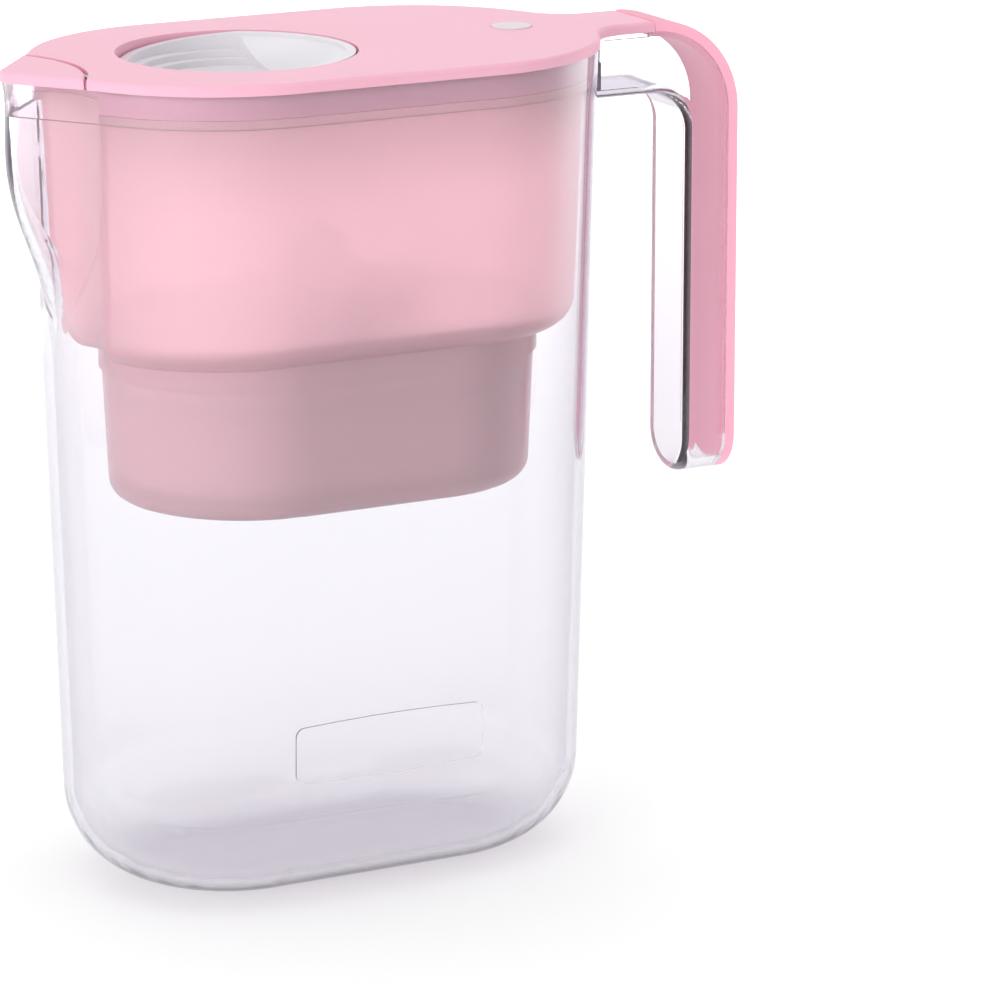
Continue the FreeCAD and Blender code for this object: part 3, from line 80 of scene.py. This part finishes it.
# Painted shade: walls seen edge on turn lavender grey and partly diffuse, standing in for dark surroundings
# reflected in the edges.
side_on = add(clear_san, "ShaderNodeLayerWeight", values={"Blend": 0.5})
edge = add(clear_san, "ShaderNodeMapRange", [(side_on, "Facing", "Value")],
           {"From Min": CLEAR_EDGE_FROM, "From Max": 1.0})
painted_edge_shade = add(clear_san, "ShaderNodeMath", [(edge, "Result", 0)], {1: CLEAR_EDGE_POWER}, operation="POWER")
painted_edge_colour = add(clear_san, "ShaderNodeMix", [(painted_edge_shade, 0, "Factor")],
           {6: linear("#F7F6F9"), 7: linear("#A29BB8")}, data_type="RGBA")
painted_edge_veil = add(clear_san, "ShaderNodeMapRange", [(side_on, "Facing", "Value")],
              {"From Min": 0.35, "From Max": 0.85, "To Min": 0.985, "To Max": 0.7})
glassy = add(clear_san, "ShaderNodeBsdfPrincipled",
             [(painted_edge_colour, 2, "Base Color"), (sink, "Normal", "Normal"), (haze, "Result", "Roughness"),
              (painted_edge_veil, "Result", "Transmission Weight")], {"IOR": 1.52})
passed = lets_lamps_through(clear_san, glassy, "#FBFAFB")
tint = add(clear_san, "ShaderNodeVolumeAbsorption", values={"Color": linear("#E4E1EC"), "Density": 30.0})
clear_san.node_tree.links.new(passed.outputs[0], out.inputs["Surface"])
clear_san.node_tree.links.new(tint.outputs["Volume"], out.inputs["Volume"])
dress(["pitcher_body"], clear_san)


# Lid and spout flap: opaque pink mouldings.
# Polypropylene, injection moulded in a finely blasted tool; the flap turns on a pin in the lid.
# Even colour with a soft satin grain and a dull highlight.
GRAIN_MM = 0.35  # drawn coarser than the real blasted grain so that it shows
FLOW_MM = 45.0
PINK = ("#F4B3C8", "#F6B9CD")
PINK_ROUGHNESS = (0.32, 0.44)
PINK_GRAIN = (0.25, 0.03)


def satin_moulding(material, colours, roughness, grain_cut):
    """Opaque moulded plastic: blasted grain of a strength and depth in mm, faint flow marks, dull gloss."""
    strength, deep_mm = grain_cut
    place = add(material, "ShaderNodeTexCoord")
    grain = add(material, "ShaderNodeTexNoise", [(place, "Object", "Vector")],
                {"Scale": 1 / (GRAIN_MM * MM), "Detail": 2.0})
    sink = add(material, "ShaderNodeBump", [(grain, "Fac", "Height")],
               {"Strength": strength, "Distance": deep_mm * MM})
    flow = add(material, "ShaderNodeTexNoise", [(place, "Object", "Vector")],
               {"Scale": 1 / (FLOW_MM * MM), "Detail": 2.0})
    shade = add(material, "ShaderNodeMix", [(flow, "Fac", "Factor")],
                {6: linear(colours[0]), 7: linear(colours[1])}, data_type="RGBA")
    dull = add(material, "ShaderNodeMapRange", [(grain, "Fac", "Value")],
               {"To Min": roughness[0], "To Max": roughness[1]})
    return add(material, "ShaderNodeBsdfPrincipled",
               [(shade, 2, "Base Color"), (sink, "Normal", "Normal"), (dull, "Result", "Roughness")],
               {"IOR": 1.49})


pink_pp, out = new_finish("polypropylene_pink_satin")
satin = satin_moulding(pink_pp, PINK, PINK_ROUGHNESS, PINK_GRAIN)
pink_pp.node_tree.links.new(satin.outputs["BSDF"], out.inputs["Surface"])
dress(["lid", "spout_flap"], pink_pp)


# Handle strip: closes the back of the handle's channel.
# The lid's polypropylene in a thin moulding that snaps into a rebate of the channel.
# Same satin pink, thin enough that light from behind warms its inner face.
STRIP_GLOW = 0.26
thin_pp, out = new_finish("polypropylene_pink_thin_wall")
satin = satin_moulding(thin_pp, PINK, PINK_ROUGHNESS, PINK_GRAIN)
glow = add(thin_pp, "ShaderNodeBsdfTranslucent", values={"Color": linear("#FBDCE5")})
body = add(thin_pp, "ShaderNodeMixShader", [(satin, 0, 1), (glow, 0, 2)], {0: STRIP_GLOW})
passed = lets_lamps_through(thin_pp, body, "#F0D6DE")
thin_pp.node_tree.links.new(passed.outputs[0], out.inputs["Surface"])
dress(["handle_cover"], thin_pp)


# Hopper: tinted tank with a scooped spout end, a shoulder and the cartridge's sleeve.
# Polypropylene tinted pink, injection moulded; hangs from its flange on the jug's ledge.
# Milky: light glows through it, deeper pink where it goes a long way in the wall.
CLOUD_MM = 30.0
HOPPER_GLOW = 0.36
tinted_pp, out = new_finish("polypropylene_tinted_translucent")
place = add(tinted_pp, "ShaderNodeTexCoord")
cloud = add(tinted_pp, "ShaderNodeTexNoise", [(place, "Object", "Vector")],
            {"Scale": 1 / (CLOUD_MM * MM), "Detail": 2.0})
shade = add(tinted_pp, "ShaderNodeMix", [(cloud, "Fac", "Factor")],
            {6: linear("#FCE8EB"), 7: linear("#FDECEE")}, data_type="RGBA")
blur = add(tinted_pp, "ShaderNodeMapRange", [(cloud, "Fac", "Value")], {"To Min": 0.14, "To Max": 0.20})
milky = add(tinted_pp, "ShaderNodeBsdfPrincipled", [(shade, 2, "Base Color"), (blur, "Result", "Roughness")],
            {"IOR": 1.49, "Transmission Weight": 0.65})
glow = add(tinted_pp, "ShaderNodeBsdfTranslucent", [(shade, 2, "Color")])
body = add(tinted_pp, "ShaderNodeMixShader", [(milky, 0, 1), (glow, 0, 2)], {0: HOPPER_GLOW})
passed = lets_lamps_through(tinted_pp, body, "#FBF1F3")
tint = add(tinted_pp, "ShaderNodeVolumeAbsorption", values={"Color": linear("#F0B4C6"), "Density": 50.0})
tinted_pp.node_tree.links.new(passed.outputs[0], out.inputs["Surface"])
tinted_pp.node_tree.links.new(tint.outputs["Volume"], out.inputs["Volume"])
dress(["hopper"], tinted_pp)


# Fill flap, cartridge cup and cap, light's cover: white mouldings.
# Polypropylene, injection moulded; the flap hangs on a steel pin, the cap is welded on the cup.
# Clean white with a soft sheen.
white_pp, out = new_finish("polypropylene_white_satin")
clean = satin_moulding(white_pp, ("#E1DEE3", "#E7E4E9"), (0.26, 0.34), (0.15, 0.02))
white_pp.node_tree.links.new(clean.outputs["BSDF"], out.inputs["Surface"])
dress(["fill_flap", "cartridge_cup", "cartridge_cap", "indicator_cover"], white_pp)


# Button of the filter-life light: a white lens pressed down on the switch, and the lamp under it.
# Polycarbonate with a diffusing filler, moulded; held by its flange under the lid.
# Frosted white that lets some light through.
FROST_MM = 0.5  # drawn coarser than the filler so that it shows
frosted_pc, out = new_finish("polycarbonate_frosted_white")
place = add(frosted_pc, "ShaderNodeTexCoord")
frost = add(frosted_pc, "ShaderNodeTexNoise", [(place, "Object", "Vector")],
            {"Scale": 1 / (FROST_MM * MM), "Detail": 2.0})
dull = add(frosted_pc, "ShaderNodeMapRange", [(frost, "Fac", "Value")], {"To Min": 0.30, "To Max": 0.42})
shade = add(frosted_pc, "ShaderNodeMix", [(frost, "Fac", "Factor")],
            {6: linear("#F7E6EE"), 7: linear("#FBECF3")}, data_type="RGBA")
lens = add(frosted_pc, "ShaderNodeBsdfPrincipled", [(shade, 2, "Base Color"), (dull, "Result", "Roughness")],
           {"IOR": 1.58, "Transmission Weight": 0.2})
frosted_pc.node_tree.links.new(lens.outputs["BSDF"], out.inputs["Surface"])
dress(["indicator_button", "indicator_led"], frosted_pc)


# Hinge pins, torsion spring, coin cell, cell contacts and cover screws.
# Stainless steel, drawn wire and rolled strip; pins are pressed into the lid, screws cut their thread.
# Bright grey with fine drawing lines along the metal.
LINE_MM = 0.15  # drawn coarser than the real drawing lines so that they show
drawn_steel, out = new_finish("stainless_steel_drawn")
place = add(drawn_steel, "ShaderNodeTexCoord")
along = add(drawn_steel, "ShaderNodeMapping", [(place, "Object", "Vector")], {"Scale": (1.0, 0.04, 1.0)})
lines = add(drawn_steel, "ShaderNodeTexNoise", [(along, "Vector", "Vector")],
            {"Scale": 1 / (LINE_MM * MM), "Detail": 3.0})
shade = add(drawn_steel, "ShaderNodeMix", [(lines, "Fac", "Factor")],
            {6: linear("#B9BABD"), 7: linear("#D3D4D6")}, data_type="RGBA")
dull = add(drawn_steel, "ShaderNodeMapRange", [(lines, "Fac", "Value")], {"To Min": 0.22, "To Max": 0.38})
bright = add(drawn_steel, "ShaderNodeBsdfPrincipled",
             [(shade, 2, "Base Color"), (dull, "Result", "Roughness")], {"Metallic": 1.0})
drawn_steel.node_tree.links.new(bright.outputs["BSDF"], out.inputs["Surface"])
dress(["spout_flap_pin", "fill_flap_pin", "fill_flap_spring", "coin_cell", "cell_contact_top",
       "cell_contact_base", "indicator_screws"], drawn_steel)


# Seal ring of the cartridge and gasket of the light's chamber.
# Silicone rubber, compression moulded; stretched into their grooves.
# Pale and slightly dusty, no sharp highlight.
DUST_MM = 0.6
silicone, out = new_finish("silicone_rubber_moulded")
place = add(silicone, "ShaderNodeTexCoord")
dust = add(silicone, "ShaderNodeTexNoise", [(place, "Object", "Vector")],
           {"Scale": 1 / (DUST_MM * MM), "Detail": 4.0})
shade = add(silicone, "ShaderNodeMix", [(dust, "Fac", "Factor")],
            {6: linear("#D9D7DC"), 7: linear("#E9E7EB")}, data_type="RGBA")
dull = add(silicone, "ShaderNodeMapRange", [(dust, "Fac", "Value")], {"To Min": 0.5, "To Max": 0.7})
rubber = add(silicone, "ShaderNodeBsdfPrincipled", [(shade, 2, "Base Color"), (dull, "Result", "Roughness")],
             {"IOR": 1.41})
silicone.node_tree.links.new(rubber.outputs["BSDF"], out.inputs["Surface"])
dress(["cartridge_seal", "indicator_seal"], silicone)


# Pads that hold the media in the cartridge, top and bottom.
# Polyester fibre, needle-punched felt cut to the cup.
# Matt off-white with a tangle of fibres.
FIBRE_MM = 0.8  # drawn coarser than the fibres so that they show
felt, out = new_finish("polyester_felt_needled")
place = add(felt, "ShaderNodeTexCoord")
flat = add(felt, "ShaderNodeMapping", [(place, "Object", "Vector")], {"Scale": (1.0, 0.35, 2.0)})
tangle = add(felt, "ShaderNodeTexNoise", [(flat, "Vector", "Vector")],
             {"Scale": 1 / (FIBRE_MM * MM), "Detail": 6.0, "Distortion": 1.5})
sink = add(felt, "ShaderNodeBump", [(tangle, "Fac", "Height")], {"Strength": 0.7, "Distance": 0.3 * MM})
shade = add(felt, "ShaderNodeMix", [(tangle, "Fac", "Factor")],
            {6: linear("#D6D4D0"), 7: linear("#F3F2EF")}, data_type="RGBA")
fluff = add(felt, "ShaderNodeBsdfPrincipled", [(shade, 2, "Base Color"), (sink, "Normal", "Normal")],
            {"Roughness": 0.95, "Sheen Weight": 0.3})
felt.node_tree.links.new(fluff.outputs["BSDF"], out.inputs["Surface"])
dress(["cartridge_top_pad", "cartridge_bottom_pad"], felt)


# Filter media between the pads.
# Activated carbon, crushed and sieved to grains of about a millimetre, poured in loose.
# Charcoal grains with dull broken faces.
CARBON_MM = 1.2
carbon, out = new_finish("activated_carbon_granular")
place = add(carbon, "ShaderNodeTexCoord")
grains = add(carbon, "ShaderNodeTexVoronoi", [(place, "Object", "Vector")], {"Scale": 1 / (CARBON_MM * MM)})
sink = add(carbon, "ShaderNodeBump", [(grains, "Distance", "Height")],
           {"Strength": 0.9, "Distance": 0.5 * MM}, invert=True)
shade = add(carbon, "ShaderNodeMix", [(grains, "Color", "Factor")],
            {6: linear("#222224"), 7: linear("#4A4A4E")}, data_type="RGBA")
dull = add(carbon, "ShaderNodeMapRange", [(grains, "Distance", "Value")], {"To Min": 0.45, "To Max": 0.85})
char = add(carbon, "ShaderNodeBsdfPrincipled",
           [(shade, 2, "Base Color"), (sink, "Normal", "Normal"), (dull, "Result", "Roughness")])
carbon.node_tree.links.new(char.outputs["BSDF"], out.inputs["Surface"])
dress(["cartridge_media"], carbon)


# Board of the light.
# Glass-cloth epoxy with green solder mask, routed round; clamped under the lens chamber's ledge.
# Glossy green with the cloth's weave just showing.
CLOTH_MM = 0.5
BANDS_PER_UNIT = 20  # the wave pattern lays about this many bands at scale 1
board_mask, out = new_finish("glass_epoxy_solder_mask")
place = add(board_mask, "ShaderNodeTexCoord")
cloth = add(board_mask, "ShaderNodeTexWave", [(place, "Object", "Vector")],
            {"Scale": 1 / (CLOTH_MM * MM) / BANDS_PER_UNIT, "Distortion": 1.0},
            wave_type="BANDS", bands_direction="X")
shade = add(board_mask, "ShaderNodeMix", [(cloth, "Fac", "Factor")],
            {6: linear("#1F5A3B"), 7: linear("#2A6B48")}, data_type="RGBA")
dull = add(board_mask, "ShaderNodeMapRange", [(cloth, "Fac", "Value")], {"To Min": 0.25, "To Max": 0.35})
mask = add(board_mask, "ShaderNodeBsdfPrincipled", [(shade, 2, "Base Color"), (dull, "Result", "Roughness")],
           {"IOR": 1.5})
board_mask.node_tree.links.new(mask.outputs["BSDF"], out.inputs["Surface"])
dress(["indicator_board"], board_mask)


# Switch under the button.
# Heat-resistant nylon, moulded black; soldered on the board.
# Dull black with a faint grain.
black_nylon, out = new_finish("nylon_black_moulded")
place = add(black_nylon, "ShaderNodeTexCoord")
grain = add(black_nylon, "ShaderNodeTexNoise", [(place, "Object", "Vector")],
            {"Scale": 1 / (GRAIN_MM * MM), "Detail": 2.0})
shade = add(black_nylon, "ShaderNodeMix", [(grain, "Fac", "Factor")],
            {6: linear("#18181A"), 7: linear("#26262A")}, data_type="RGBA")
dull = add(black_nylon, "ShaderNodeMapRange", [(grain, "Fac", "Value")], {"To Min": 0.4, "To Max": 0.55})
shell = add(black_nylon, "ShaderNodeBsdfPrincipled",
            [(shade, 2, "Base Color"), (dull, "Result", "Roughness")])
black_nylon.node_tree.links.new(shell.outputs["BSDF"], out.inputs["Surface"])
dress(["indicator_switch"], black_nylon)


# Studio: white floor that keeps a soft shadow, white surroundings, a large soft lamp overhead, one at
# each end and one behind that glows through the hopper.
AMBIENT = 0.46  # strength of the surroundings as light
FLOOR_GLOW = 0.15  # lifts the paper to white where it is seen
FAR_GLOW = 0.75  # far from the lamps the paper would turn grey
NEAR, FAR = 0.5, 3.0


def white_for_sight(material, unseen, seen):
    """Shows the second shader to sight, reflections and refractions, and the first to all other light."""
    path = add(material, "ShaderNodeLightPath")
    first = add(material, "ShaderNodeMath", [(path, "Is Camera Ray", 0), (path, "Is Glossy Ray", 1)],
                operation="MAXIMUM")
    sight = add(material, "ShaderNodeMath", [(first, 0, 0), (path, "Is Transmission Ray", 1)],
                operation="MAXIMUM")
    fresh = add(material, "ShaderNodeMath", [(path, "Diffuse Depth", 0)], {1: 0.5}, operation="LESS_THAN")
    both = add(material, "ShaderNodeMath", [(sight, 0, 0), (fresh, 0, 1)], operation="MULTIPLY")
    return add(material, "ShaderNodeMixShader", [(both, 0, 0), (unseen, 0, 1), (seen, 0, 2)])


world = bpy.data.worlds.new("studio")
bpy.context.scene.world = world
world.use_nodes = True
world.node_tree.nodes.clear()
out = world.node_tree.nodes.new("ShaderNodeOutputWorld")
ambient = add(world, "ShaderNodeBackground", values={"Color": linear("#FFFFFF"), "Strength": AMBIENT})
white = add(world, "ShaderNodeBackground", values={"Color": linear("#FFFFFF"), "Strength": 1.0})
mixed = white_for_sight(world, ambient, white)
world.node_tree.links.new(mixed.outputs[0], out.inputs["Surface"])

floor_mesh = bpy.data.meshes.new("floor")
REACH = 8.0
floor_mesh.from_pydata([(-REACH, -REACH, 0), (REACH, -REACH, 0), (REACH, REACH, 0), (-REACH, REACH, 0)], [],
                       [(0, 1, 2, 3)])
floor = bpy.data.objects.new("floor", floor_mesh)
floor.location.z = -0.2 * MM
bpy.context.scene.collection.objects.link(floor)
paper, out = new_finish("studio_paper")
matt = add(paper, "ShaderNodeBsdfDiffuse", values={"Color": linear("#F4F4F4")})
place = add(paper, "ShaderNodeTexCoord")
radius = add(paper, "ShaderNodeVectorMath", [(place, "Object", 0)], operation="LENGTH")
rise = add(paper, "ShaderNodeMapRange", [(radius, "Value", "Value")],
           {"From Min": NEAR, "From Max": FAR, "To Min": FLOOR_GLOW, "To Max": FAR_GLOW})
lift = add(paper, "ShaderNodeEmission", [(rise, "Result", "Strength")], {"Color": linear("#FFFFFF")})
both = add(paper, "ShaderNodeAddShader", [(matt, 0, 0), (lift, 0, 1)])
mixed = white_for_sight(paper, matt, both)
paper.node_tree.links.new(mixed.outputs[0], out.inputs["Surface"])
floor_mesh.materials.append(paper)


def soft_lamp(name, place, target, size, watts, mirrored=True):
    """Soft box at a place in metres, turned to its target; mirrored ones show in gloss and glass."""
    lamp = bpy.data.lights.new(name, "AREA")
    lamp.shape = "RECTANGLE"
    lamp.size, lamp.size_y = size
    lamp.energy = watts
    holder = bpy.data.objects.new(name, lamp)
    holder.location = place
    holder.rotation_euler = (Vector(target) - Vector(place)).to_track_quat("-Z", "Y").to_euler()
    holder.visible_camera = False
    holder.visible_glossy = mirrored
    holder.visible_transmission = mirrored
    bpy.context.scene.collection.objects.link(holder)


soft_lamp("top_softbox", (0.1, 0.3, 3.0), (0.1, 0.3, 0.0), (3.6, 3.6), 35)
soft_lamp("spout_side_softbox", (-1.8, -1.1, 0.7), (0, 0, 0.12), (1.2, 1.2), 27, False)
soft_lamp("handle_side_softbox", (1.7, 0.2, 0.5), (0, 0, 0.12), (1.0, 1.0), 9, False)
soft_lamp("back_softbox", (0.3, 1.8, 0.4), (0, 0, 0.12), (1.4, 0.6), 22, False)

# Camera at the photograph's viewing angle.
PHOTO_WIDTH = 1000
FOCAL_PIXELS = 5104.0
SENSOR_MM = 36.0
camera = bpy.data.cameras.new("camera")
camera.sensor_fit = "HORIZONTAL"
camera.sensor_width = SENSOR_MM
camera.lens = SENSOR_MM * FOCAL_PIXELS / PHOTO_WIDTH
camera.clip_end = 50
eye = bpy.data.objects.new("camera", camera)
eye.location = (-0.59996, -1.25125, 0.47153)
eye.rotation_euler = Vector((0.44942, 0.85583, -0.25606)).to_track_quat("-Z", "Y").to_euler()
bpy.context.scene.collection.objects.link(eye)
bpy.context.scene.camera = eye
bpy.context.scene.view_settings.view_transform = "Standard"
